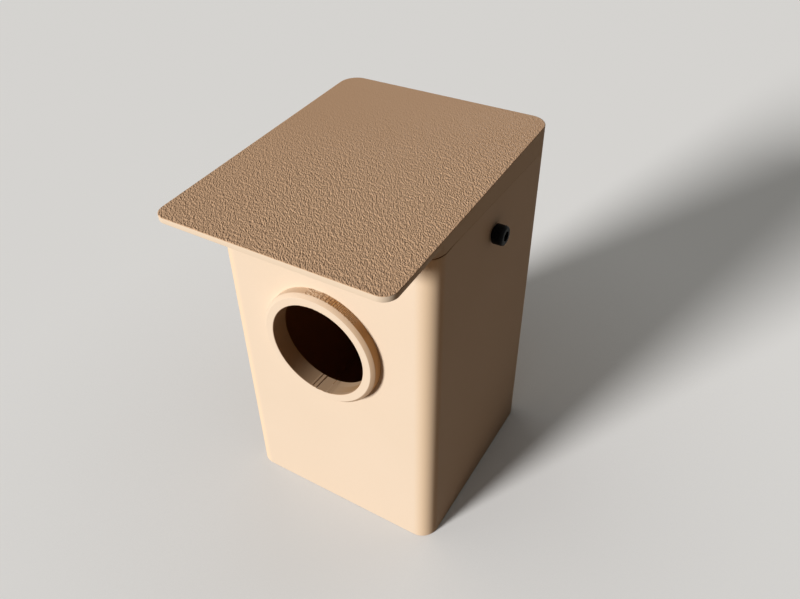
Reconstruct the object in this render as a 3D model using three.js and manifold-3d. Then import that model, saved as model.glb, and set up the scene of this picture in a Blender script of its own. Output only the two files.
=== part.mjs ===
// Wren nest box: a printed box with a round entrance collar and a lift-off roof clamped by two side screws.
// Millimetres. +Z is up, X runs across the front, and the entrance faces -Y.
// The origin is the middle of the underside, where the box stands.
import * as THREE from "three";
import { mergeVertices } from "three/addons/utils/BufferGeometryUtils.js";
import Module from "manifold-3d";

const wasm = await Module();
wasm.setup();

// Box: outside sizes. The walls end level, and the roof gives the slope.
const boxWidth = 64;
const boxDepth = 64;
const boxCornerRadius = 5.2;
const wallThickness = 1.8;
const floorThickness = 2.4;
const wallHeight = 101;

// Entrance: the bore, hung below the top of the walls, and the collar that stands out round it
const entranceDiameter = 28.2;
const entranceDrop = 36.3;
const collarDiameter = 34.6;
const collarReach = 3.5;
const collarChamfer = 1;

// Roof: a leaning plate that overhangs the front. Its rim, flush with the walls, deepens to the back.
const roofSlope = THREE.MathUtils.degToRad(3.3);
const roofFrontEdge = 3.8;
const plateThickness = 1.6;
const plateOverhang = 18.1;
const plateFrontRadius = 3.6;
const seamGap = 0.3;

// Roof, inside the walls: the locating lip, and the slotted tabs that hang astride the screws
const lidClearance = 0.3;
const lipThickness = 1.6;
const lipDepth = 4;
const tabThickness = 2;
const tabWidth = 14;
const tabReach = 6;
const nutGuideThickness = 1.6;
const nutGuideOverlap = 1.5;

// Screws: socket heads on the side walls, below the top of the walls and a little ahead of mid depth
const screwDrop = 9;
const screwAhead = 1.3;
const screwShankDiameter = 3;
const screwLength = 8;
const screwTipChamfer = 0.4;
const screwHeadDiameter = 5.5;
const screwHeadHeight = 3;
const screwHeadChamfer = 0.35;
const socketWidth = 2.5;
const socketDepth = 1.5;
const screwHoleClearance = 0.2;
const headSeatGap = 0.1;

// Nuts: each sits between the guides of its tab
const nutWidth = 5.5;
const nutThickness = 2.4;
const nutChamfer = 0.4;
const nutThreadClearance = 0.1;
const nutSideClearance = 0.2;
const nutSeatGap = 0.1;

// Back wall: a keyhole to hang the box on a screw; floor: drain holes
const keyholeDrop = 11;
const keyholeEntryDiameter = 8;
const keyholeNeckDiameter = 4;
const keyholeRise = 6;
const drainDiameter = 5;
const drainInset = 12;

// How far every cut runs past the faces that it opens
const cutOverrun = 2;

// Smoothness of round forms, in steps
const cornerSteps = 10;
const collarSteps = 96;
const holeSteps = 32;
const screwSteps = 32;
const hexSides = 6;

// Heights: the rim's level underside, and the plate's two faces above the outside of the front wall
const rimUnderside = wallHeight + seamGap;
const frontHeight = rimUnderside + roofFrontEdge;
const plateUnderside = frontHeight - plateThickness / Math.cos(roofSlope);
const entranceHeight = wallHeight - entranceDrop;

// Screw line and tabs, shared by the walls, the roof, the nuts and the screws
const screwHeight = wallHeight - screwDrop;
const wallInside = boxWidth / 2 - wallThickness;
const tabOutside = wallInside - lidClearance;
const tabInside = tabOutside - tabThickness;
const tabFront = -screwAhead - tabWidth / 2;
const tabBack = tabFront + tabWidth;
const tabLow = screwHeight - tabReach;
const screwHoleRadius = screwShankDiameter / 2 + screwHoleClearance;
const nutCornerRadius = nutWidth / (2 * Math.cos(Math.PI / hexSides));

// Further than any piece reaches, for blanks that are cut back
const beyond = boxWidth + boxDepth + plateOverhang + frontHeight;

const printedPlastic = new THREE.MeshStandardMaterial({ color: 0xebcaa8, roughness: 0.62, metalness: 0 });
const texturedPlastic = new THREE.MeshStandardMaterial({ color: 0xe5c4a1, roughness: 0.7, metalness: 0 });
const blackSteel = new THREE.MeshStandardMaterial({ color: 0x141414, roughness: 0.42, metalness: 0.6 });
const platedSteel = new THREE.MeshStandardMaterial({ color: 0xb9bcc0, roughness: 0.35, metalness: 1 });

// A closed geometry as a solid that can be cut and joined.
function solid(geometry) {
  const shell = geometry.clone();
  shell.deleteAttribute("normal");
  shell.deleteAttribute("uv");
  const merged = mergeVertices(shell);
  const vertProperties = new Float32Array(merged.attributes.position.array);
  const triVerts = new Uint32Array(merged.index.array);
  return new wasm.Manifold(new wasm.Mesh({ numProp: 3, vertProperties, triVerts }));
}

// A solid as a flat-shaded geometry.
function surface(body) {
  const { vertProperties, triVerts } = body.getMesh();
  const shared = new THREE.BufferGeometry();
  shared.setAttribute("position", new THREE.BufferAttribute(vertProperties, 3));
  shared.setIndex(new THREE.BufferAttribute(triVerts, 1));
  const faceted = shared.toNonIndexed();
  faceted.computeVertexNormals();
  return faceted;
}

// A rounded rectangle seen from above. Its front edge may lie further out than the walls.
function outline(halfWidth, front, back, frontRadius, backRadius) {
  const shape = new THREE.Shape();
  const quarter = Math.PI / 2;
  shape.absarc(halfWidth - backRadius, back - backRadius, backRadius, 0, quarter);
  shape.absarc(-halfWidth + backRadius, back - backRadius, backRadius, quarter, Math.PI);
  shape.absarc(-halfWidth + frontRadius, front + frontRadius, frontRadius, Math.PI, -quarter);
  shape.absarc(halfWidth - frontRadius, front + frontRadius, frontRadius, -quarter, 0);
  shape.closePath();
  return shape;
}

// The outline of the walls, drawn in by an inset. Its corners never turn inside out.
function wallOutline(inset) {
  const radius = Math.max(boxCornerRadius - inset, lidClearance);
  const halfDepth = boxDepth / 2 - inset;
  return outline(boxWidth / 2 - inset, -halfDepth, halfDepth, radius, radius);
}

// An outline raised straight up between two heights.
function prism(shape, low, high) {
  const options = { depth: high - low, bevelEnabled: false, curveSegments: cornerSteps };
  return solid(new THREE.ExtrudeGeometry(shape, options).translate(0, 0, low));
}

// Everything above a plane that rises to the back with the roof; height is measured at the front wall.
function above(height) {
  const space = new THREE.BoxGeometry(2 * beyond, 2 * beyond, 2 * beyond);
  space.translate(0, 0, beyond);
  space.rotateX(roofSlope);
  return solid(space.translate(0, -boxDepth / 2, height));
}

// A block between two corners.
function block(low, high) {
  const size = high.clone().sub(low);
  const middle = high.clone().add(low).divideScalar(2);
  const box = new THREE.BoxGeometry(size.x, size.y, size.z);
  return solid(box.translate(middle.x, middle.y, middle.z));
}

// A round bar with its axis along Y, between two depths.
function barAlongY(radius, near, far, x, z, steps) {
  const bar = new THREE.CylinderGeometry(radius, radius, far - near, steps);
  return solid(bar.translate(x, (near + far) / 2, z));
}

// The front wall's collar: a chamfered drum rooted in the wall. The bore is cut later.
function collarDrum() {
  const radius = collarDiameter / 2;
  const front = -boxDepth / 2 - collarReach;
  const root = -boxDepth / 2 + wallThickness / 2;
  const profile = [
    new THREE.Vector2(0, front),
    new THREE.Vector2(radius - collarChamfer, front),
    new THREE.Vector2(radius, front + collarChamfer),
    new THREE.Vector2(radius, root),
    new THREE.Vector2(0, root),
  ];
  return solid(new THREE.LatheGeometry(profile, collarSteps).translate(0, 0, entranceHeight));
}

// The round way in, through the collar and the front wall.
function entranceBore() {
  const near = -boxDepth / 2 - collarReach - cutOverrun;
  const far = -boxDepth / 2 + wallThickness + cutOverrun;
  return barAlongY(entranceDiameter / 2, near, far, 0, entranceHeight, collarSteps);
}

// A keyhole through the back wall: a screw head enters below, and its shank rises into the neck.
function keyhole() {
  const near = boxDepth / 2 - wallThickness - cutOverrun;
  const far = boxDepth / 2 + cutOverrun;
  const neckRadius = keyholeNeckDiameter / 2;
  const neckHeight = wallHeight - keyholeDrop;
  const entryHeight = neckHeight - keyholeRise;
  const low = new THREE.Vector3(-neckRadius, near, entryHeight);
  const high = new THREE.Vector3(neckRadius, far, neckHeight);
  return barAlongY(keyholeEntryDiameter / 2, near, far, 0, entryHeight, holeSteps)
    .add(barAlongY(neckRadius, near, far, 0, neckHeight, holeSteps))
    .add(block(low, high));
}

// A round bar along the screw line, for the holes in the walls and the slots in the tabs.
function barOnScrewLine(radius, length) {
  const bar = new THREE.CylinderGeometry(radius, radius, length, holeSteps);
  return solid(bar.rotateZ(Math.PI / 2).translate(0, -screwAhead, screwHeight));
}

// A drain hole through the floor in each corner.
function drainHoles() {
  const x = boxWidth / 2 - wallThickness - drainInset;
  const y = boxDepth / 2 - wallThickness - drainInset;
  const depth = floorThickness + 2 * cutOverrun;
  const holes = [];
  for (const side of [-1, 1]) {
    for (const end of [-1, 1]) {
      const bar = new THREE.CylinderGeometry(drainDiameter / 2, drainDiameter / 2, depth, holeSteps);
      holes.push(solid(bar.rotateX(Math.PI / 2).translate(side * x, end * y, floorThickness / 2)));
    }
  }
  return holes;
}

// The box: floor, four walls and collar in one print, open at the top.
function nestBoxBody() {
  let body = prism(wallOutline(0), 0, wallHeight)
    .subtract(prism(wallOutline(wallThickness), floorThickness, wallHeight + cutOverrun))
    .add(collarDrum())
    .subtract(entranceBore())
    .subtract(barOnScrewLine(screwHoleRadius, boxWidth + 2 * cutOverrun))
    .subtract(keyhole());
  for (const hole of drainHoles()) body = body.subtract(hole);
  return body;
}

// The space under the overhang: all round the front of the walls, back to where their corners end.
function overhangSpace() {
  const halfWidth = boxWidth / 2;
  const radius = boxCornerRadius;
  const cornerEnd = -boxDepth / 2 + radius;
  const quarter = Math.PI / 2;
  const shape = new THREE.Shape();
  shape.moveTo(halfWidth, cornerEnd);
  shape.absarc(halfWidth - radius, cornerEnd, radius, 0, -quarter, true);
  shape.absarc(-halfWidth + radius, cornerEnd, radius, -quarter, -Math.PI, true);
  shape.lineTo(-beyond, cornerEnd);
  shape.lineTo(-beyond, -beyond);
  shape.lineTo(beyond, -beyond);
  shape.lineTo(beyond, cornerEnd);
  shape.closePath();
  return prism(shape, -beyond, beyond).subtract(above(plateUnderside));
}

// A block on one side of the box, given by its distances from the middle plane.
function sideBlock(side, inside, outside, front, back, low, high) {
  const [left, right] = side > 0 ? [inside, outside] : [-outside, -inside];
  return block(new THREE.Vector3(left, front, low), new THREE.Vector3(right, back, high));
}

// The room inside the lip, less the two tabs that hang down into it.
function lidHollow() {
  const inset = wallThickness + lidClearance + lipThickness;
  return prism(wallOutline(inset), -beyond, beyond)
    .subtract(above(plateUnderside))
    .subtract(sideBlock(1, tabInside, beyond, tabFront, tabBack, -beyond, beyond))
    .subtract(sideBlock(-1, tabInside, beyond, tabFront, tabBack, -beyond, beyond));
}

// Everything under a level plane.
function everythingBelow(height) {
  return block(new THREE.Vector3(-beyond, -beyond, -beyond), new THREE.Vector3(beyond, beyond, height));
}

// What is cut away outside the lip and below it, so that only the tabs reach further down.
function lipSurround() {
  const low = new THREE.Vector3(-beyond, tabFront, tabLow);
  const high = new THREE.Vector3(beyond, tabBack, beyond);
  const tabZone = block(low, high);
  const insideLip = prism(wallOutline(wallThickness + lidClearance), -beyond, beyond);
  const outsideLip = everythingBelow(rimUnderside).subtract(insideLip);
  return outsideLip.add(everythingBelow(wallHeight - lipDepth).subtract(tabZone));
}

// Two upright guides on a tab's inner face. The nut slides between them and can't turn.
function nutGuides(side) {
  const high = screwHeight + nutCornerRadius + nutGuideOverlap;
  const inside = tabInside - nutThickness;
  const root = (tabInside + tabOutside) / 2;
  const near = nutWidth / 2 + nutSideClearance;
  const far = near + nutGuideThickness;
  return sideBlock(side, inside, root, near - screwAhead, far - screwAhead, tabLow, high)
    .add(sideBlock(side, inside, root, -far - screwAhead, -near - screwAhead, tabLow, high));
}

// The slots, open below, that let both tabs slide down over the screws.
function tabSlots() {
  const side = boxWidth / 2;
  const low = new THREE.Vector3(-side, -screwAhead - screwHoleRadius, tabLow - cutOverrun);
  const high = new THREE.Vector3(side, -screwAhead + screwHoleRadius, screwHeight);
  return barOnScrewLine(screwHoleRadius, boxWidth).add(block(low, high));
}

// The roof: plate, rim, locating lip and side tabs in one print, cut from a blank of the plate's outline.
function roofLid() {
  const front = -boxDepth / 2 - plateOverhang;
  const plateOutline = outline(boxWidth / 2, front, boxDepth / 2, plateFrontRadius, boxCornerRadius);
  return prism(plateOutline, 0, beyond)
    .subtract(above(frontHeight))
    .subtract(overhangSpace())
    .subtract(lipSurround())
    .subtract(lidHollow())
    .add(nutGuides(1))
    .add(nutGuides(-1))
    .subtract(tabSlots());
}

// A socket-head cap screw. The head's underside is at zero, and the head points along +Y.
function capScrew() {
  const shank = screwShankDiameter / 2;
  const head = screwHeadDiameter / 2;
  const profile = [
    new THREE.Vector2(0, -screwLength),
    new THREE.Vector2(shank - screwTipChamfer, -screwLength),
    new THREE.Vector2(shank, -screwLength + screwTipChamfer),
    new THREE.Vector2(shank, 0),
    new THREE.Vector2(head, 0),
    new THREE.Vector2(head, screwHeadHeight - screwHeadChamfer),
    new THREE.Vector2(head - screwHeadChamfer, screwHeadHeight),
    new THREE.Vector2(0, screwHeadHeight),
  ];
  const cornerRadius = socketWidth / (2 * Math.cos(Math.PI / hexSides));
  const depth = socketDepth + cutOverrun;
  const socket = new THREE.CylinderGeometry(cornerRadius, cornerRadius, depth, hexSides);
  socket.translate(0, screwHeadHeight - socketDepth + depth / 2, 0);
  return solid(new THREE.LatheGeometry(profile, screwSteps)).subtract(solid(socket));
}

// A hexagon nut with its outer face at zero, reaching along -Y.
function hexNut() {
  const radius = nutCornerRadius;
  const profile = [
    new THREE.Vector2(0, -nutThickness),
    new THREE.Vector2(radius - nutChamfer, -nutThickness),
    new THREE.Vector2(radius, -nutThickness + nutChamfer),
    new THREE.Vector2(radius, -nutChamfer),
    new THREE.Vector2(radius - nutChamfer, 0),
    new THREE.Vector2(0, 0),
  ];
  const blank = new THREE.CylinderGeometry(radius, radius, nutThickness, hexSides);
  blank.translate(0, -nutThickness / 2, 0);
  const bore = screwShankDiameter / 2 + nutThreadClearance;
  return solid(blank)
    .intersect(solid(new THREE.LatheGeometry(profile, screwSteps)))
    .subtract(barAlongY(bore, -nutThickness - cutOverrun, cutOverrun, 0, 0, screwSteps));
}

const nestBox = new THREE.Group();

function place(name, geometry, material, parent) {
  const mesh = new THREE.Mesh(geometry, material);
  mesh.name = name;
  parent.add(mesh);
  return mesh;
}

place("nest_box_body", surface(nestBoxBody()), printedPlastic, nestBox);
place("roof_lid", surface(roofLid()), texturedPlastic, nestBox);

// One screw and one nut on each side, on a group whose +Y points out of the box
const screwGeometry = surface(capScrew());
const nutGeometry = surface(hexNut());
for (const [sideName, side] of [["right", 1], ["left", -1]]) {
  const fastening = new THREE.Group();
  fastening.position.set(0, -screwAhead, screwHeight);
  fastening.rotation.z = (-side * Math.PI) / 2;
  nestBox.add(fastening);
  place(`screw_${sideName}`, screwGeometry, blackSteel, fastening).position.y = boxWidth / 2 + headSeatGap;
  place(`nut_${sideName}`, nutGeometry, platedSteel, fastening).position.y = tabInside - nutSeatGap;
}

export default nestBox;
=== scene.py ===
import bmesh
import bpy
import numpy as np
from mathutils import Matrix, Vector


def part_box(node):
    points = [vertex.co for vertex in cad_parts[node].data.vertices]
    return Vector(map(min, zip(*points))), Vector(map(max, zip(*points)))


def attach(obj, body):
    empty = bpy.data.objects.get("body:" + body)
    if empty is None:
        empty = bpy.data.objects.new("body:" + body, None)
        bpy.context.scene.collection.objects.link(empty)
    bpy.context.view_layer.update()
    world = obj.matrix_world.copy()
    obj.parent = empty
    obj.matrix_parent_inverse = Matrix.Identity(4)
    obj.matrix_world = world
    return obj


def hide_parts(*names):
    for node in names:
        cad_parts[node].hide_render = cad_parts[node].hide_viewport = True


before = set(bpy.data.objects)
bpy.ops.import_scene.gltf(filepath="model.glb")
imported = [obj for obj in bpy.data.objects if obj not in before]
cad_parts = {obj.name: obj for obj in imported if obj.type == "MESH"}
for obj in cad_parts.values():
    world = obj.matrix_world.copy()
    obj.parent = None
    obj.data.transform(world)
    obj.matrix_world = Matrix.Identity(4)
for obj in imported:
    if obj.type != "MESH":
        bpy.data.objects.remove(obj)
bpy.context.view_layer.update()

# Box: floor, four walls and the raised entrance collar, in one print of matt tan plastic. It is built up
# from the underside in level layers, so round forms that face sideways show a staircase. The entrance,
# the screw holes, a keyhole to hang it by and the drain holes are left open in the print.
mm = 0.001
same_place = 0.0001 * mm
layer = 0.2 * mm
box_low, box_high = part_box("nest_box_body")
half_width = box_high.x
wall_face = -box_high.y
wall_top = box_high.z
corner_radius = 5.2 * mm
wall_thickness = 1.8 * mm
floor_thickness = 2.4 * mm
foot_round = 0.35 * mm
top_round = 0.06 * mm
floor_fillet = 0.5 * mm
corner_steps = 20
side_steps = 16
rise_steps = 26
edge_steps = 4
top_steps = 3
# The roof's front corners have lifted a little as they cooled, so the seam gapes round each corner and
# closes along the side.
seam_rise = 0.28 * mm
seam_gape_length = 4.2 * mm
seam_closing_length = 8 * mm


def rounded_outline(half_width, front, back, front_radius, back_radius, corner_steps, side_steps):
    """Points round a rounded rectangle, anticlockwise from above. Each corner is a quarter circle, centre
    plus radius times (cosine, sine). Each side is divided evenly, but for a short step at both ends."""
    quarter = np.linspace(0, np.pi / 2, corner_steps + 1)
    centres = [
        (half_width - back_radius, back - back_radius, back_radius),
        (-half_width + back_radius, back - back_radius, back_radius),
        (-half_width + front_radius, front + front_radius, front_radius),
        (half_width - front_radius, front + front_radius, front_radius),
    ]
    arcs = []
    for turn, (x, y, radius) in enumerate(centres):
        angle = quarter + turn * np.pi / 2
        arcs.append(np.stack([x + radius * np.cos(angle), y + radius * np.sin(angle)], 1))
    end_share = 0.01
    even_shares = np.linspace(0, 1, side_steps + 1)[1:-1]
    share = np.concatenate([[end_share], even_shares, [1 - end_share]])[:, None]
    runs = []
    for arc, following in zip(arcs, arcs[1:] + arcs[:1]):
        runs += [arc, arc[-1] + share * (following[0] - arc[-1])]
    return np.concatenate(runs)


def wall_outline(inset):
    """The outline of the walls, drawn in by an inset."""
    radius = corner_radius - inset
    back = -wall_face - inset
    return rounded_outline(half_width - inset, -back, back, radius, radius, corner_steps, side_steps)


def ring_at(outline, height):
    """An outline lifted to a height, which is one number or one for each point."""
    return np.column_stack([outline, np.broadcast_to(height, len(outline))])


def quarter_round(radius, steps):
    """Insets and drops from a face round a quarter circle: radius times (1 - sine, 1 - cosine)."""
    angle = np.linspace(0, np.pi / 2, steps + 1)
    return zip(radius * (1 - np.sin(angle)), radius * (1 - np.cos(angle)))


def merge_points(mesh):
    """Makes points at one place a single point, which also drops faces that have shrunk to nothing."""
    shell = bmesh.new()
    shell.from_mesh(mesh)
    bmesh.ops.remove_doubles(shell, verts=shell.verts, dist=same_place)
    shell.to_mesh(mesh)
    shell.free()


def new_piece(name, points, faces):
    """A mesh object from points and faces."""
    mesh = bpy.data.meshes.new(name)
    mesh.from_pydata(points, [], faces)
    merge_points(mesh)
    piece = bpy.data.objects.new(name, mesh)
    bpy.context.scene.collection.objects.link(piece)
    return piece


def strips(rings, count, first=0, loop=False):
    """Quads between each ring of points and the next. Every ring runs round and has count points."""
    low = np.arange(rings if loop else rings - 1)[:, None] * count
    high = (low + count) % (rings * count)
    here = np.arange(count)[None, :]
    after = (here + 1) % count
    return (first + np.stack([low + here, low + after, high + after, high + here], -1)).reshape(-1, 4)


def skin(name, rings):
    """A closed body through rings of equally many points, with a flat polygon over the first and the
    last. Rings that run anticlockwise from above and climb give faces that point out."""
    count = len(rings[0])
    faces = strips(len(rings), count).tolist()
    faces.append(list(range(count))[::-1])
    faces.append(list(range((len(rings) - 1) * count, len(rings) * count)))
    return new_piece(name, np.concatenate(rings), faces)


def work(piece, operation, tool):
    """Joins a tool to a piece or cuts it away. The result is the piece's new mesh, and the tool goes."""
    change = piece.modifiers.new("change", "BOOLEAN")
    change.operation = operation
    change.solver = "EXACT"
    change.object = tool
    worked = piece.evaluated_get(bpy.context.evaluated_depsgraph_get())
    result = bpy.data.meshes.new_from_object(worked)
    piece.modifiers.clear()
    merge_points(result)
    piece.data = result
    bpy.data.objects.remove(tool)


def lifted_top(outline):
    """Height of the walls' top: lower round both front corners, and from there a smooth step up, three
    times the share squared less twice its cube, along the side and along the front."""
    from_corner = np.maximum(outline[:, 1] - wall_face, half_width - np.abs(outline[:, 0]))
    closed = np.clip((from_corner - seam_gape_length) / seam_closing_length, 0, 1)
    return wall_top + seam_rise * closed**2 * (3 - 2 * closed)


body_rings = [ring_at(wall_outline(inset), drop) for inset, drop in quarter_round(foot_round, edge_steps)]
for height in np.linspace(2 * foot_round, wall_top - 4 * foot_round, rise_steps):
    body_rings.append(ring_at(wall_outline(0), height))
body_rings.append(ring_at(wall_outline(0), wall_top - 3 * foot_round))
for inset, drop in reversed(list(quarter_round(top_round, top_steps))):
    outline = wall_outline(inset)
    body_rings.append(ring_at(outline, lifted_top(outline) - drop))
for inset, drop in quarter_round(top_round, top_steps):
    outline = wall_outline(wall_thickness - inset)
    body_rings.append(ring_at(outline, lifted_top(outline) - drop))
for height in np.linspace(wall_top - 2 * foot_round, floor_thickness + 2 * floor_fillet, rise_steps):
    body_rings.append(ring_at(wall_outline(wall_thickness), height))
for inset, drop in reversed(list(quarter_round(floor_fillet, edge_steps))):
    body_rings.append(ring_at(wall_outline(wall_thickness + inset), floor_thickness + drop))
body = skin("box_print", body_rings)

# The collar and the bore are stacks of level layers. The shares say how far up a layer its outline turns,
# and a notch lies along its foot and its top.
collar_front = box_low.y
collar_radius = 17.3 * mm
collar_chamfer = 1 * mm
collar_edge = 0.07 * mm
collar_root_flare = 0.2 * mm
collar_step_reach = 12.5 * mm
bore_radius = 14.1 * mm
bore_mouth = 0.12 * mm
bore_step_reach = 3 * mm
entrance_height = wall_top - 36.3 * mm
collar_notch = 0.13 * mm
bore_notch = 0.09 * mm
layer_shares = np.array([0, 0.3, 0.7, 1])
layer_notches = np.array([1, 0, 0, 1])
fade_share = 0.2
overrun = 2 * mm


def layered_circle(radius, widest, step_reach, notch):
    """A circle printed standing up, as points (x, z) anticlockwise from the foot of its right-hand side.
    Its half width at a height is the square root of radius squared less height squared. Out to the step
    reach, a layer is as wide as the circle at the layer's middle, with a notch along both its edges;
    further out the steps are too fine to show, and the circle is smooth. Layers above and below the
    circle fold up to nothing, so that circles up to the widest one have equally many points."""
    first = np.floor((entrance_height - widest) / layer)
    last = np.ceil((entrance_height + widest) / layer)
    foot = np.arange(first, last)[:, None] * layer
    stepped = np.sqrt(np.clip(radius**2 - (foot + layer / 2 - entrance_height) ** 2, 0, None))
    held = foot[stepped > 0]
    lowest = max(held.min(), entrance_height - radius)
    highest = min(held.max() + layer, entrance_height + radius)
    z = np.clip(foot + layer_shares * layer, lowest, highest)
    smooth = np.sqrt(np.clip(radius**2 - (z - entrance_height) ** 2, 0, None))
    past_reach = (stepped / step_reach - 1) / fade_share
    shown = np.clip(1 - past_reach, 0, 1) * (stepped > 0)
    x = smooth + shown * (np.clip(stepped - notch * layer_notches, 0, None) - smooth)
    x, z = x.ravel(), z.ravel()
    return np.column_stack([np.concatenate([x, -x[::-1]]), np.concatenate([z, z[::-1]])])


def layered_bar(name, stations, widest, notch):
    """A bar along Y through layered circles: stations are depth, radius and step reach, back to front."""
    rings = []
    for depth, radius, step_reach in stations:
        circle = layered_circle(radius, widest, step_reach, notch)
        rings.append(np.column_stack([circle[:, 0], np.full(len(circle), depth), circle[:, 1]]))
    return skin(name, rings)


chamfer_start = collar_front + collar_chamfer
face_radius = collar_radius - collar_chamfer
no_steps = 0.01 * mm
work(body, "UNION", layered_bar("collar", [
    (wall_face + wall_thickness / 2, collar_radius + collar_root_flare, collar_step_reach),
    (wall_face, collar_radius + collar_root_flare, collar_step_reach),
    (wall_face - collar_root_flare / 2, collar_radius + collar_root_flare / 4, collar_step_reach),
    (wall_face - collar_root_flare, collar_radius, collar_step_reach),
    (chamfer_start + 2 * collar_edge, collar_radius, collar_step_reach),
    (chamfer_start + collar_edge, collar_radius, no_steps),
    (chamfer_start - collar_edge, collar_radius - collar_edge, no_steps),
    (collar_front + collar_edge, face_radius + collar_edge, no_steps),
    (collar_front, face_radius - collar_edge, no_steps),
], collar_radius + collar_root_flare, collar_notch))
beyond_mouth = 0.5 * mm
work(body, "DIFFERENCE", layered_bar("bore", [
    (wall_face + wall_thickness + overrun, bore_radius, bore_step_reach),
    (collar_front + bore_mouth, bore_radius, bore_step_reach),
    (collar_front - beyond_mouth, bore_radius + bore_mouth + beyond_mouth, no_steps),
], bore_radius + bore_mouth + beyond_mouth, -bore_notch))

# Screw holes, keyhole and drains
screw_height = wall_top - 9 * mm
screw_depth = -1.3 * mm
screw_hole_radius = 1.7 * mm
keyhole_entry_radius = 4 * mm
keyhole_neck_radius = 2 * mm
keyhole_neck_height = wall_top - 11 * mm
keyhole_entry_height = keyhole_neck_height - 6 * mm
drain_radius = 2.5 * mm
drain_place = half_width - wall_thickness - 12 * mm
hole_steps = 48


def turn_to(points, axis):
    """Points of an upright bar laid along another axis, by taking X, Y and Z in turn."""
    return points[:, {"X": [2, 0, 1], "Y": [1, 2, 0], "Z": [0, 1, 2]}[axis]]


def arc(radius, start, end, steps, middle=(0, 0)):
    """Points on an arc of a circle, from one angle to another in degrees."""
    angle = np.radians(np.linspace(start, end, steps))
    return np.column_stack([middle[0] + radius * np.cos(angle), middle[1] + radius * np.sin(angle)])


def straight_bar(name, outline, low, high, axis="Z", shift=(0, 0, 0)):
    """A bar of constant section between two levels of an axis, moved by a shift."""
    rings = [turn_to(ring_at(outline, level), axis) + shift for level in (low, high)]
    return skin(name, rings)


full_circle = arc(1, 0, 360, hole_steps + 1)[:-1]
work(body, "DIFFERENCE", straight_bar(
    "screw holes", full_circle * screw_hole_radius, -half_width - overrun, half_width + overrun, "X",
    (0, screw_depth, screw_height)))
meeting = np.degrees(np.arcsin(keyhole_neck_radius / keyhole_entry_radius))
neck_rise = keyhole_neck_height - keyhole_entry_height
keyhole = np.concatenate([
    arc(keyhole_entry_radius, 90 + meeting, 450 - meeting, hole_steps),
    arc(keyhole_neck_radius, 0, 180, hole_steps // 2, (0, neck_rise)),
])
# Along Y, a bar's outline is in Z and X, so the keyhole's two columns change places and its turn does too
work(body, "DIFFERENCE", straight_bar(
    "keyhole", keyhole[::-1, ::-1], -wall_face - wall_thickness - overrun, -wall_face + overrun, "Y",
    (0, 0, keyhole_entry_height)))
for side in (-1, 1):
    for end in (-1, 1):
        work(body, "DIFFERENCE", straight_bar(
            "drain", full_circle * drain_radius, -overrun, floor_thickness + overrun, "Z",
            (side * drain_place, end * drain_place, 0)))


class Value:
    """One output of a shader node. Sums, products, powers and comparisons of it are written as in a
    formula, and each adds its own Math node. A comparison gives 1 or 0."""

    def __init__(self, finish, output):
        self.finish = finish
        self.output = output

    def math(self, operation, *others):
        terms = dict(enumerate((self, *others)))
        return self.finish.add("ShaderNodeMath", {"operation": operation}, terms)

    def ramp(self, start, end):
        """Goes from 0 at the start to 1 at the end, and stays there."""
        return ((self - start) / (end - start)).math("MAXIMUM", 0).math("MINIMUM", 1)

    def __add__(self, other):
        return self.math("ADD", other)

    def __sub__(self, other):
        return self.math("SUBTRACT", other)

    def __rsub__(self, other):
        return self * -1 + other

    def __mul__(self, other):
        return self.math("MULTIPLY", other)

    def __truediv__(self, other):
        return self.math("DIVIDE", other)

    def __pow__(self, other):
        return self.math("POWER", other)

    def __gt__(self, other):
        return self.math("GREATER_THAN", other)

    def __lt__(self, other):
        return self.math("LESS_THAN", other)

    def __abs__(self):
        return self.math("ABSOLUTE")

    __radd__ = __add__
    __rmul__ = __mul__


class Finish:
    """The nodes of a material, or of the world, round its shader, and one method that adds the others."""

    def __init__(self, name, make=bpy.data.materials.new, shader="Principled BSDF", **sockets):
        self.owner = make(name)
        self.owner.use_nodes = True
        self.tree = self.owner.node_tree
        self.shader = self.tree.nodes[shader]
        self.set(**sockets)

    def set(self, **sockets):
        for name, value in sockets.items():
            self.plug(self.shader.inputs[name.replace("_", " ")], value)

    def plug(self, socket, value):
        if isinstance(value, Value):
            self.tree.links.new(value.output, socket)
        else:
            socket.default_value = value

    def add(self, kind, settings, inputs, output=0):
        """A node of one kind. Its settings are set first, then each input gets its value or link."""
        node = self.tree.nodes.new(kind)
        for name, value in settings.items():
            setattr(node, name, value)
        for name, value in inputs.items():
            self.plug(node.inputs[name], value)
        return Value(self, node.outputs[output])

    def place(self):
        """Object coordinates."""
        return self.add("ShaderNodeTexCoord", {}, {}, "Object")

    def part(self, vector, axis):
        """One of the three parts of a vector."""
        return self.add("ShaderNodeSeparateXYZ", {}, {0: vector}, axis)

    def ridge(self, height):
        """A rounded ridge for each printed layer, from 0 in its grooves to 1."""
        return 1 - abs((height / layer).math("FRACT") * 2 - 1)

    def noise(self, vector, size, detail=2, roughness=0.5):
        """Cloudy noise from 0 to 1 with patches of about a given size."""
        inputs = {"Vector": vector, "Scale": 1 / size, "Detail": detail, "Roughness": roughness}
        return self.add("ShaderNodeTexNoise", {}, inputs, "Fac")

    def mix(self, share, first, second):
        """A colour that goes from the first to the second as a share goes from 0 to 1. Sockets 6 and 7 of
        a Mix node take colours, and its output 2 gives one."""
        return self.add("ShaderNodeMix", {"data_type": "RGBA"}, {0: share, 6: first, 7: second}, 2)

    def seen(self):
        """1 for rays from the camera, mirrored rays and rays that went through a surface, or else 0."""
        kinds = ("Is Camera Ray", "Is Glossy Ray", "Is Transmission Ray")
        direct, mirrored, passed = (self.add("ShaderNodeLightPath", {}, {}, kind) for kind in kinds)
        return direct.math("MAXIMUM", mirrored).math("MAXIMUM", passed)

    def bump(self, height):
        """A normal bent by a height in millimetres."""
        return self.add("ShaderNodeBump", {}, {"Height": height, "Distance": mm}, "Normal")


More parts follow.
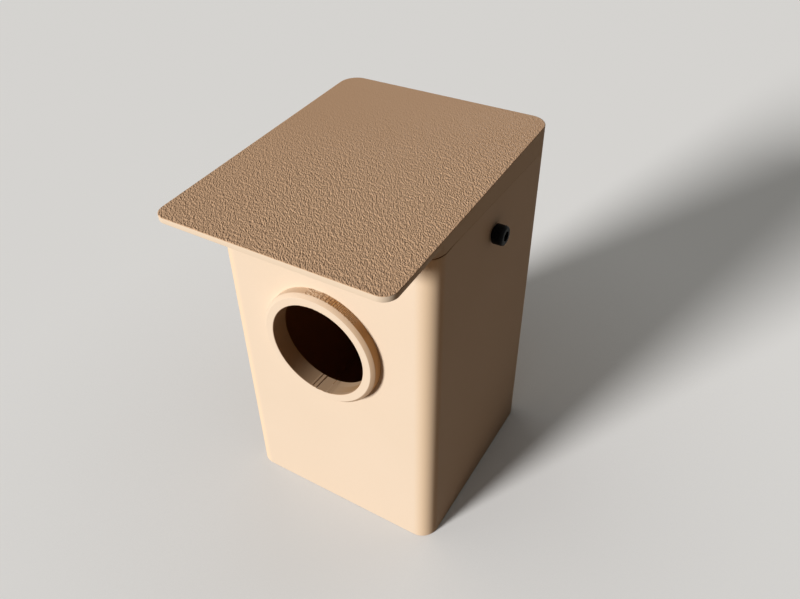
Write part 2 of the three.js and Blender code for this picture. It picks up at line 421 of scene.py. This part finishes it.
def srgb(red, green, blue):
    """A colour written as 0 to 255 on a screen, as the shader's linear numbers."""
    share = np.array([red, green, blue]) / 255
    linear = np.where(share <= 0.04045, share / 12.92, ((share + 0.055) / 1.055) ** 2.4)
    return (*linear.tolist(), 1.0)


# Painted shade, in a deep warm tone: in the bore, and on the collar's side and chamfer towards the right.
# Painted light, paler and warmer, on the corners. Painted shade, deeper in tone, on the box's inside.
# On the treads of the collar's staircase the print is rough, and further right painted shade in the layers'
# grooves shows as a deep warm hatch.
tan_warm = srgb(225, 204, 179)
tan_pale = srgb(231, 210, 187)
# A deep warm tone for painted shade, a paler warmer tone for painted light on the corners, and a deeper tone
# for painted shade inside
golden_painted_shade = srgb(184, 139, 90)
corner_painted_light = srgb(240, 211, 177)
deep_painted_shade = srgb(168, 125, 84)
skin_depth = 0.07 * mm
shade_from_x = -12 * mm
shade_to_x = 14 * mm
hatch_from = 2 * mm
hatch_to = 5 * mm
tread_left = -3 * mm
tread_rise = 13 * mm
cloud_size = 28 * mm
fleck_size = 1.1 * mm
speckle_size = 0.7 * mm
ridge_relief = 0.004
fleck_relief = 0.003
speckle_relief = 0.9
printed = Finish("printed plastic", Specular_IOR_Level=0.15)
place = printed.place()
x, y, z = (printed.part(place, axis) for axis in "XYZ")
past_x, past_y = ((abs(value) - (half_width - corner_radius)).math("MAXIMUM", 0) for value in (x, y))
# Painted light: share of the paler, warmer corner tone, largest round the middle of each corner
corner_light_share = past_x * past_y * (2 / corner_radius**2)
inside = (past_x**2 + past_y**2 < (corner_radius - skin_depth) ** 2) * (z > floor_thickness / 2)
rise = z - entrance_height
in_bore = (x**2 + rise**2 < (bore_radius + skin_depth) ** 2) * (y < wall_face + wall_thickness + skin_depth)
on_collar_side = (y > chamfer_start) * (y < wall_face - skin_depth)
on_chamfer = (y > collar_front + collar_edge) * (y < chamfer_start)
on_treads = on_collar_side * (rise > tread_rise) * (x > tread_left)
cloud = printed.noise(place, cloud_size)
fleck = printed.noise(place, fleck_size, detail=3, roughness=0.6)
speckle = printed.noise(place, speckle_size, detail=1)
ridge = printed.ridge(z)
# Painted shade: grows towards the right, where the collar's side turns away from the lamp
shade_to_right = x.ramp(shade_from_x, shade_to_x)
# Painted shade in the layers' grooves on the treads, further right; the ridge tops stay nearly clear
groove_shade_hatch = on_treads * x.ramp(hatch_from, hatch_to)
side_shade_share = on_collar_side * shade_to_right * (1 - groove_shade_hatch) + groove_shade_hatch * (1 - 0.9 * (ridge > 0.5))
# Painted shade share: in the bore, on the collar's right side and on its chamfer
golden_shade_share = (0.6 * in_bore).math("MAXIMUM", side_shade_share + 0.5 * on_chamfer * shade_to_right)
clouded = printed.mix(0.7 * cloud + 0.3 * fleck, tan_warm, tan_pale)
# Painted light on the corners
corner_lit_colour = printed.mix(corner_light_share, clouded, corner_painted_light)
# Painted shade on the box's inside, but for the bore
inside_shaded_colour = printed.mix(inside * (1 - in_bore), corner_lit_colour, deep_painted_shade)
speckled = speckle * on_treads * (1 - 0.3 * groove_shade_hatch)
printed.set(
    Base_Color=printed.mix(golden_shade_share, inside_shaded_colour, golden_painted_shade),
    Roughness=0.56 + 0.12 * fleck,
    Normal=printed.bump(ridge_relief * ridge + fleck_relief * fleck + speckle_relief * speckled),
)


def finish_piece(piece, finish, node, rides_on, crease=32):
    """Gives a piece its material, shades it smooth up to a crease angle, and lets it stand for its CAD
    node on the body that carries it."""
    piece.data.materials.clear()
    piece.data.materials.append(finish.owner)
    piece.data.shade_smooth()
    piece.data.set_sharp_from_angle(angle=np.radians(crease))
    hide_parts(node)
    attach(piece, rides_on)


body.modifiers.new("flat faces stay flat", "WEIGHTED_NORMAL").keep_sharp = True
finish_piece(body, printed, "nest_box_body", "box")

# Roof: a leaning plate with a rim that stands on the walls, a lip that locates it and a slotted tab on
# each side, in one print of the same plastic. It was printed upside down on a textured plate, which left
# a fine pebbled grain all over its upper face.
roof_low, roof_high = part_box("roof_lid")
slope = np.tan(np.radians(3.3))
plate_front = roof_low.y
plate_thickness = 1.6 * mm / np.cos(np.arctan(slope))
plate_front_radius = 3.6 * mm
rim_underside = wall_top + 0.3 * mm
face_at_wall = rim_underside + 3.8 * mm
plate_round = 0.22 * mm
round_steps = 4
plate_lower_round = 0.2 * mm
bevel_stop = 1.8 * mm
lid_clearance = 0.3 * mm
lip_thickness = 1.6 * mm
lip_depth = 4 * mm
tab_thickness = 2 * mm
tab_width = 14 * mm
tab_low = screw_height - 6 * mm
wall_inside = half_width - wall_thickness
tab_outside = wall_inside - lid_clearance
tab_inside = tab_outside - tab_thickness
nut_thickness = 2.4 * mm
nut_width = 5.5 * mm
nut_side_clearance = 0.2 * mm
guide_thickness = 1.6 * mm
guide_top = screw_height + nut_width / np.sqrt(3) + 1.5 * mm
grain_length = 0.8 * mm
grain_spread = 0.3
grain_stretch = 2
grain_turn = np.radians(33)
pebble_size = 0.32 * mm
grain_depth = 0.045 * mm
bed_margin = 0.01 * mm
grain_waves = 72
grain_step = 0.265 * mm


def leaning(y, height_at_wall):
    """Height of a plane that leans with the roof, given its height at the front wall's face."""
    return height_at_wall + (y - wall_face) * slope


worn_from = -30 * mm
worn_to = 38 * mm
wear_slant = 0.6
most_worn = 0.9
draw = np.random.default_rng(11)
wave_angle = draw.uniform(0, 2 * np.pi, grain_waves)
wave_length = grain_length * np.exp(draw.normal(0, grain_spread, grain_waves))
wave_start = draw.uniform(0, 2 * np.pi, grain_waves)


def bed_grain(x, y):
    """Height of the print bed's grain, from about -1 to 1: a sum of cosine waves of nearly one length
    that run in all directions, each with its own start, rounded off at its highest and lowest. It is
    drawn out a little along a line turned from Y."""
    across = x * np.cos(grain_turn) + y * np.sin(grain_turn)
    along = (y * np.cos(grain_turn) - x * np.sin(grain_turn)) / grain_stretch
    total = np.zeros(np.shape(x))
    for angle, length, start in zip(wave_angle, wave_length, wave_start):
        total += np.cos(2 * np.pi / length * (across * np.cos(angle) + along * np.sin(angle)) + start)
    return np.tanh(total / np.sqrt(grain_waves / 2))


def grain_share(x, y):
    """How deep the grain is: full towards the front, and from there a smooth step down, three times the
    share squared less twice its cube, as the bed was worn towards the back and the left."""
    worn = np.clip((y - wear_slant * x - worn_from) / (worn_to - worn_from), 0, 1)
    return 1 - most_worn * worn**2 * (3 - 2 * worn)


def grained_top(x, y, share):
    """Height of the plate's upper face, lowered by a share of the grain there."""
    return leaning(y, face_at_wall) + share * grain_depth * (bed_grain(x, y) - 1) * grain_share(x, y)


def plate_grid(inset, columns, corner_rows, middle_rows):
    """A grid over the plate's outline, drawn in by an inset. Rows run across. Through a rounded corner
    they follow the angle: depth is radius times (1 - cosine), and half width grows by radius times sine."""
    quarter = np.linspace(0, np.pi / 2, corner_rows + 1)
    front_reach = plate_front_radius - inset
    back_reach = corner_radius - inset
    front_end = plate_front + plate_front_radius
    back_end = roof_high.y - corner_radius
    middle = np.linspace(front_end, back_end, middle_rows + 1)[1:-1]
    depth = np.concatenate([
        front_end - front_reach * np.cos(quarter),
        middle,
        back_end + back_reach * np.cos(quarter[::-1]),
    ])
    half = np.concatenate([
        half_width - plate_front_radius + front_reach * np.sin(quarter),
        np.full(len(middle), half_width - inset),
        half_width - corner_radius + back_reach * np.sin(quarter[::-1]),
    ])
    across = np.linspace(-1, 1, columns + 1)
    return across[None, :] * half[:, None], np.broadcast_to(depth[:, None], (len(depth), columns + 1))


def border(grid):
    """The points round a grid's edge, anticlockwise from its first corner."""
    return np.concatenate([grid[0, :-1], grid[:-1, -1], grid[-1, :0:-1], grid[:0:-1, 0]])


columns = round(2 * half_width / grain_step)
middle_rows = round((roof_high.y - plate_front) / grain_step)
corner_rows = 20
grid_x, grid_y = plate_grid(plate_round, columns, corner_rows, middle_rows)
rows, width = grid_x.shape
top_corner = (np.arange(rows - 1)[:, None] * width + np.arange(width - 1)[None, :]).ravel()
faces = np.stack([top_corner, top_corner + 1, top_corner + width + 1, top_corner + width], -1).tolist()
points = [np.column_stack([grid_x.ravel(), grid_y.ravel(), grained_top(grid_x, grid_y, 1).ravel()])]
upper = border(np.arange(rows * width).reshape(rows, width))
round_rings = list(quarter_round(plate_round, round_steps))[1:] + [(0, 2 * plate_round), (0, None)]
for step, (inset, drop) in enumerate(round_rings):
    ring_x, ring_y = (border(grid) for grid in plate_grid(inset, columns, corner_rows, middle_rows))
    if drop is None:
        ring_z = np.full(len(ring_x), tab_low - overrun)
    else:
        ring_z = grained_top(ring_x, ring_y, inset / plate_round) - drop
    points.append(np.column_stack([ring_x, ring_y, ring_z]))
    lower = rows * width + step * len(ring_x) + np.arange(len(ring_x))
    faces += np.stack([upper, lower, np.roll(lower, -1), np.roll(upper, -1)], -1).tolist()
    upper = lower
faces.append(upper[::-1].tolist())
roof = new_piece("roof_print", np.concatenate(points), faces)


def column(name, outline, low, high):
    """An upright solid on an outline. Its low and high ends are levels, or functions of the depth."""
    ends = [end(outline[:, 1]) if callable(end) else end for end in (low, high)]
    return skin(name, [ring_at(outline, end) for end in ends])


def rectangle(left, right, front, back):
    """The four corners of a rectangle, anticlockwise."""
    return np.array([(left, front), (right, front), (right, back), (left, back)])


def plate_underside(y):
    """Height of the plate's lower face."""
    return leaning(y, face_at_wall - plate_thickness)


beyond = 200 * mm
far_low = tab_low - 2 * overrun
corner_end = wall_face + corner_radius
rim_corner = arc(corner_radius, 0, -90, 3 * corner_steps, (half_width - corner_radius, corner_end))
rim_corner_left = (rim_corner * (-1, 1))[::-1]
around_front = np.concatenate([
    rim_corner,
    rim_corner_left,
    [(-beyond, corner_end), (-beyond, -beyond), (beyond, -beyond), (beyond, corner_end)],
])
waste = column("space under the overhang", around_front, far_low, plate_underside)
lip_outside = wall_outline(wall_thickness + lid_clearance)
outside_lip = column("outside the lip", rectangle(-beyond, beyond, -beyond, beyond), far_low, rim_underside)
work(outside_lip, "DIFFERENCE", column("lip", lip_outside, 2 * far_low - rim_underside, beyond))
below_lip = column(
    "below the lip", rectangle(-beyond, beyond, -beyond, beyond), far_low - overrun, wall_top - lip_depth)
tab_front = screw_depth - tab_width / 2
tab_back = tab_front + tab_width
work(below_lip, "DIFFERENCE", column(
    "tabs", rectangle(-2 * beyond, 2 * beyond, tab_front, tab_back), tab_low, beyond))
lip_inside = wall_outline(wall_thickness + lid_clearance + lip_thickness)
hollow = column("hollow", lip_inside, far_low - 2 * overrun, plate_underside)
for side in (-1, 1):
    left, right = sorted((side * tab_inside, side * beyond))
    work(hollow, "DIFFERENCE", column("tab", rectangle(left, right, tab_front, tab_back), -beyond, beyond))
for tool in (outside_lip, below_lip, hollow):
    work(waste, "UNION", tool)
guide_near = nut_width / 2 + nut_side_clearance
guide_far = guide_near + guide_thickness
for side in (-1, 1):
    left, right = sorted((side * (tab_inside - nut_thickness), side * (tab_inside + tab_thickness / 2)))
    for end in (-1, 1):
        front, back = sorted((screw_depth + end * guide_near, screw_depth + end * guide_far))
        work(waste, "DIFFERENCE", column("guide", rectangle(left, right, front, back), tab_low, guide_top))
slot_foot = tab_low - overrun - screw_height
slot_outline = np.concatenate([
    arc(screw_hole_radius, 0, 180, hole_steps // 2),
    [(-screw_hole_radius, slot_foot), (screw_hole_radius, slot_foot)],
])
work(waste, "UNION", straight_bar(
    "slots", slot_outline, -wall_inside, wall_inside, "X", (0, screw_depth, screw_height)))
work(roof, "DIFFERENCE", waste)


def read(items, name, width=1, kind=float):
    """One number, or one row of numbers, of each vertex, edge, loop or face of a mesh."""
    values = np.empty(len(items) * width, kind)
    items.foreach_get(name, values)
    return values.reshape(-1, width) if width > 1 else values


# The lower edge of the overhang is rounded: each edge in the plane of the underside that has a level face
# on one side and an upright one on the other, outside the walls
level_tilt = 0.9
upright_tilt = 0.1
mesh = roof.data
at = read(mesh.vertices, "co", 3)
ends = read(mesh.edges, "vertices", 2, int)
edge_here = read(mesh.loops, "edge_index", 1, int)
tilt_here = np.repeat(read(mesh.polygons, "normal", 3)[:, 2], read(mesh.polygons, "loop_total", 1, int))
lowest_tilt = np.ones(len(ends))
highest_tilt = -lowest_tilt
np.minimum.at(lowest_tilt, edge_here, tilt_here)
np.maximum.at(highest_tilt, edge_here, tilt_here)
off_underside = np.abs(at[:, 2] - plate_underside(at[:, 1]))[ends].max(1)
middle_x, middle_y = at[ends].mean(1).T[:2]
under_overhang = (middle_y < corner_end - bevel_stop) & (
    (np.abs(middle_x) > half_width - wall_thickness / 2) | (middle_y < wall_face + wall_thickness / 2))
at_corner = (lowest_tilt < -level_tilt) & (np.abs(highest_tilt) < upright_tilt)
on_underside = off_underside < 10 * same_place
shell = bmesh.new()
shell.from_mesh(mesh)
shell.edges.ensure_lookup_table()
edge_numbers = np.flatnonzero(at_corner & on_underside & under_overhang)
lower_edges = [shell.edges[number] for number in edge_numbers]
bmesh.ops.bevel(shell, geom=lower_edges, offset=plate_lower_round, segments=3, profile=0.5, affect="EDGES")
shell.to_mesh(mesh)
shell.free()

# The mesh keeps the grain, so that its pits can carry a little painted shade, and where the print bed was
at = read(mesh.vertices, "co", 3)
on_bed = at[:, 2] > leaning(at[:, 1], face_at_wall) - 2 * grain_depth - bed_margin
relief = np.where(on_bed, bed_grain(at[:, 0], at[:, 1]), 0)
bed = np.where(on_bed, grain_share(at[:, 0], at[:, 1]), 0)
for name, values in (("grain", relief), ("bed", bed)):
    mesh.attributes.new(name, "FLOAT", "POINT").data.foreach_set("value", values.astype(np.float32))

# The upper face's colours are a darker copy of the box's tan: painted shade for the low light that grazes
# it. Off the bed, the roof keeps the box's tan.
roof_shaded_warm = srgb(224, 182, 144)
roof_shaded_pale = srgb(240, 200, 162)
seam_reach = 0.3 * mm
roof_fleck_size = 0.45 * mm
roof_fleck_relief = 0.004
pebble_relief = 0.3
least_share = 0.02
textured = Finish("textured plastic", Specular_IOR_Level=0.15)
place = textured.place()
grain = textured.add("ShaderNodeAttribute", {"attribute_name": "grain"}, {}, "Fac")
bed = textured.add("ShaderNodeAttribute", {"attribute_name": "bed"}, {}, "Fac")
z = textured.part(place, "Z")
drawn_out = textured.add("ShaderNodeMapping", {"vector_type": "TEXTURE"}, {
    "Vector": place, "Rotation": (0, 0, grain_turn), "Scale": (1, grain_stretch, 1)})
# Painted shade: a band of the inside's deep tone in the seam's crack, just below the rim's underside
seam_shade_band = abs(z - (rim_underside + skin_depth / 2 - seam_reach)) < seam_reach
pebble = textured.noise(drawn_out, pebble_size, detail=1)
cloud = textured.noise(place, cloud_size)
fleck = textured.noise(place, roof_fleck_size, detail=3, roughness=0.6)
ridge = textured.ridge(z) * (bed < least_share)
# Painted shade darkens the grain's pits a little; the tone is paler where the grain is deepest
bed_shaded_colour = textured.mix(0.3 * cloud + 0.05 * grain + 0.1 * fleck + 0.45 * bed - 0.2, roof_shaded_warm, roof_shaded_pale)
plain_sided = textured.mix(bed > least_share, tan_warm, bed_shaded_colour)
textured.set(
    Base_Color=textured.mix(seam_shade_band, plain_sided, deep_painted_shade),
    Roughness=0.6 + 0.12 * fleck,
    Normal=textured.bump(ridge_relief * ridge + roof_fleck_relief * fleck + pebble_relief * pebble * bed),
)
roof.modifiers.new("flat faces stay flat", "WEIGHTED_NORMAL").keep_sharp = True
finish_piece(roof, textured, "roof_lid", "roof")

# Screws: black oxide socket-head cap screws, M3 by 8. The head is knurled round its side and has a
# hexagon socket with a drilled cone at its foot; the shank has a rolled thread with a pitch of 0.5 mm.
head_radius = 2.62 * mm
head_height = 3 * mm
head_round = 0.6 * mm
head_round_steps = 6
head_foot = 0.2 * mm
knurl_start = 0.4 * mm
knurl_depth = 0.04 * mm
knurl_teeth = 36
knurl_steps = 8
shank_radius = 1.5 * mm
shank_length = 8 * mm
tip_chamfer = 0.4 * mm
thread_pitch = 0.5 * mm
thread_depth = 0.27 * mm
thread_steps = 8
thread_steepness = 1.5
thread_flat_share = 0.25
plain_shank = 0.6 * mm
shank_fillet = 0.12 * mm
fillet_start_share = 0.8
socket_half_width = 1.25 * mm
socket_depth = 1.5 * mm
socket_cone = 0.55 * mm
socket_chamfer = 0.1 * mm
socket_chamfer_depth = 0.08 * mm
cone_start = 0.02 * mm
cone_start_share = 0.98
cone_tip_radius = 0.02 * mm
round_points = 144
turn = np.linspace(0, 2 * np.pi, round_points, endpoint=False)
around = np.column_stack([np.cos(turn), np.sin(turn)])


def hexagon(half_width):
    """Radius of a hexagon at each angle: half its width across flats over the cosine of the angle from
    the nearest flat's middle."""
    return half_width / np.cos((turn + np.pi / 6) % (np.pi / 3) - np.pi / 6)


def turned(levels, radii):
    """Rings round the Z axis at given levels. A radius is one number or one for each angle."""
    rings = []
    for level, radius in zip(levels, radii):
        rings.append(ring_at(np.broadcast_to(radius, turn.shape)[:, None] * around, level))
    return rings


def thread_radius(level, outer, depth):
    """Radius of a screw thread: it falls from its crest to its root and back, as a triangle wave of the
    level in pitches less the angle in turns, with both ends of the wave cut flat."""
    phase = (level / thread_pitch - turn / (2 * np.pi)) % 1
    wave = np.clip(thread_steepness * (1 - 2 * np.abs(phase - 0.5)) - thread_flat_share, 0, 1)
    return outer - depth * wave


def screw_rings():
    """The screw from its tip to its head, and down into its socket. The head's underside is at zero."""
    levels, radii = [], []
    shank = np.arange(-shank_length, -plain_shank, thread_pitch / thread_steps)
    for level in shank:
        chamfer = shank_radius - tip_chamfer + (level + shank_length)
        levels.append(level)
        radii.append(np.minimum(thread_radius(level, shank_radius, thread_depth), chamfer))
    knurl = head_radius - knurl_depth * (0.5 + 0.5 * np.cos(knurl_teeth * turn))
    knurl_end = head_height - head_round - head_foot / 2
    levels += [-plain_shank * fillet_start_share, -shank_fillet, 0, 0, head_foot / 2]
    radii += [shank_radius, shank_radius, shank_radius + shank_fillet]
    radii += [head_radius - head_foot, head_radius - knurl_depth]
    for level in np.linspace(knurl_start, knurl_end, knurl_steps):
        levels.append(level)
        radii.append(knurl)
    for inset, drop in reversed(list(quarter_round(head_round, head_round_steps))):
        levels.append(head_height - drop)
        radii.append(head_radius - knurl_depth - inset)
    levels.append(head_height)
    radii.append(hexagon(socket_half_width) + socket_chamfer)
    floor = head_height - socket_depth
    levels += [head_height - socket_chamfer_depth, floor, floor - cone_start, floor - socket_cone]
    radii += [hexagon(socket_half_width), hexagon(socket_half_width)]
    radii += [socket_half_width * cone_start_share, cone_tip_radius]
    return turned(levels, radii)


def laid_along_side(rings, side, reach):
    """Rings round Z laid along X at the screw line: their +Z points out of the box, from a reach out."""
    place = (side * reach, screw_depth, screw_height)
    return [ring[:, [2, 0, 1]] * (side, side, 1) + place for ring in rings]


head_seat = half_width + 0.4 * mm
face_depth = 0.1 * mm
oxide_dark = srgb(3, 3, 4)
oxide_light = srgb(9, 10, 10)
oxide_face = srgb(19, 22, 21)
oxide_fleck_size = 0.35 * mm
oxide_patch_size = 2.2 * mm
oxide_relief = 0.006
metal_crease = 28
black = Finish("black oxide steel", Metallic=0.1, Specular_IOR_Level=0.07)
place = black.place()
fleck = black.noise(place, oxide_fleck_size, detail=4, roughness=0.6)
patch = black.noise(place, oxide_patch_size)
end_face = abs(black.part(place, "X")) > head_seat + head_height - face_depth
black.set(
    Base_Color=black.mix(end_face, black.mix(fleck, oxide_dark, oxide_light), oxide_face),
    Roughness=0.36 + 0.16 * patch,
    Normal=black.bump(oxide_relief * fleck),
)
for side_name, side in (("right", 1), ("left", -1)):
    screw = skin(f"cap_screw_{side_name}", laid_along_side(screw_rings(), side, head_seat))
    finish_piece(screw, black, f"screw_{side_name}", f"{side_name}_screw", metal_crease)

# Nuts: bright zinc-plated hexagon nuts, M3, that slide between the guides inside each tab. Their corners
# are chamfered on both faces, and the bore has the screw's thread with a little room to run.
nut_corner = nut_width / np.sqrt(3)
nut_chamfer_height = 0.35 * mm
nut_bore = 1.6 * mm
nut_countersink = 0.25 * mm
nut_edge = 0.05 * mm
nut_gap = 0.1 * mm


def nut_rings():
    """The nut from its inner face's bore, out over its flats to its outer face, and back through the
    threaded bore. Near each face a cone limits the hexagon."""
    depths = [0, nut_edge, 3 * nut_edge, nut_chamfer_height]
    spread = (nut_corner - nut_width / 2) / nut_chamfer_height
    near = [np.minimum(hexagon(nut_width / 2), nut_width / 2 + depth * spread) for depth in depths]
    outside = [-nut_thickness + depth for depth in depths] + [-depth for depth in reversed(depths)]
    radii = near + near[::-1]
    bore_levels = np.arange(-nut_countersink, -nut_thickness + nut_countersink, -thread_pitch / thread_steps)
    bore_radii = [thread_radius(level, nut_bore, -thread_depth) - thread_depth for level in bore_levels]
    wide = nut_bore + nut_countersink
    levels = [-nut_thickness] + outside + [0] + list(bore_levels)
    return turned(levels, [wide] + radii + [wide] + bore_radii)


zinc_dull = srgb(178, 181, 186)
zinc_bright = srgb(204, 205, 206)
bloom_size = 1.6 * mm
scratch_size = 0.25 * mm
scratch_relief = 0.004
zinc = Finish("zinc plate", Metallic=1.0)
place = zinc.place()
bloom = zinc.noise(place, bloom_size, detail=4, roughness=0.6)
scratch = zinc.noise(place, scratch_size)
zinc.set(
    Base_Color=zinc.mix(bloom, zinc_dull, zinc_bright),
    Roughness=0.26 + 0.2 * bloom,
    Normal=zinc.bump(scratch_relief * scratch),
)
nut_reach = tab_inside - nut_gap
for side_name, side in (("right", 1), ("left", -1)):
    rings = laid_along_side(nut_rings(), side, nut_reach)
    nut_faces = strips(len(rings), round_points, loop=True).tolist()
    nut = new_piece(f"hex_nut_{side_name}", np.concatenate(rings), nut_faces)
    finish_piece(nut, zinc, f"nut_{side_name}", "box", metal_crease)

# Studio: a wide pale floor. Rays from the camera, and reflections, see it paler than it lights the box.
# It is shaded as if it leaned towards the window, and glows a little where the box doesn't close it in,
# so that the window's low light leaves it pale and the box's shadow is deepest at its foot.
floor_reach = 3000 * mm
shadow_reach = 120 * mm
shadow_power = 2.5
window_azimuth = -21
window_elevation = 15.8
floor_lean = 20
floor_lit = (0.195, 0.134, 0.09, 1.0)
floor_seen = (0.67, 0.66, 0.65, 1.0)
no_glow = (0.0, 0.0, 0.0, 1.0)
floor_glow = (0.97, 1.0, 0.98, 1.0)
floor_outline = rectangle(-floor_reach, floor_reach, -floor_reach, floor_reach)
floor = new_piece("floor", ring_at(floor_outline, 0), [(0, 1, 2, 3)])


def towards(azimuth, elevation):
    """The direction to a place, given in degrees from the front towards the right, and up from level."""
    around, up = np.radians([azimuth, elevation])
    return Vector((np.sin(around) * np.cos(up), -np.cos(around) * np.cos(up), np.sin(up)))


floor_finish = Finish("pale floor", Roughness=1.0, Specular_IOR_Level=0.0, Emission_Strength=0.18)
pale = floor_finish.seen()
open_share = floor_finish.add("ShaderNodeAmbientOcclusion", {"samples": 4}, {"Distance": shadow_reach}, "AO")
leaning_normal = towards(window_azimuth, 90 - floor_lean)
floor_finish.set(
    Base_Color=floor_finish.mix(pale, floor_lit, floor_seen),
    Emission_Color=floor_finish.mix(pale * open_share**shadow_power, no_glow, floor_glow),
    Normal=floor_finish.add("ShaderNodeCombineXYZ", {}, dict(zip("XYZ", leaning_normal))),
)
floor.data.materials.append(floor_finish.owner)

# Light: a low, fairly soft lamp from the front left, as through a window, a faint even room light, and a
# weak lamp from behind that reaches neither the front nor the right-hand side. The room itself looks pale.
room_light = (0.05, 0.037, 0.026, 1.0)
room_seen = (0.62, 0.61, 0.59, 1.0)
room = Finish("room", bpy.data.worlds.new, "Background")
room.set(Color=room.mix(room.seen(), room_light, room_seen))
bpy.context.scene.world = room.owner


def lamp(name, azimuth, elevation, level, spread, colour):
    """A far lamp. A level of 1 lights a white surface that faces it to 1, and spread is the lamp's width
    in degrees as the box sees it."""
    light = bpy.data.lights.new(name, "SUN")
    light.energy = level * np.pi
    light.angle = np.radians(spread)
    light.color = colour
    holder = bpy.data.objects.new(name, light)
    bpy.context.scene.collection.objects.link(holder)
    holder.rotation_euler = towards(azimuth, elevation).to_track_quat("Z", "Y").to_euler()


lamp("window", window_azimuth, window_elevation, level=1.23, spread=15, colour=(1.0, 0.995, 0.985))
lamp("back fill", azimuth=-160, elevation=5, level=0.25, spread=20, colour=(1.0, 1.0, 1.0))

# Camera: the photograph's place, aim and lens, rolled a little from level
camera_place = Vector((90.274, -142.643, 190.810)) * mm
camera_aim = Vector((3.792, 0, 58.933)) * mm
camera_roll = np.radians(0.829)
lens = bpy.data.cameras.new("camera")
lens.sensor_width = 36
lens.lens = 32.677
lens.clip_start = 0.01
camera = bpy.data.objects.new("camera", lens)
bpy.context.scene.collection.objects.link(camera)
aimed = (camera_aim - camera_place).to_track_quat("-Z", "Y").to_matrix().to_4x4()
camera.matrix_world = Matrix.Translation(camera_place) @ aimed @ Matrix.Rotation(-camera_roll, 4, "Z")
bpy.context.scene.camera = camera
bpy.context.scene.view_settings.view_transform = "Standard"
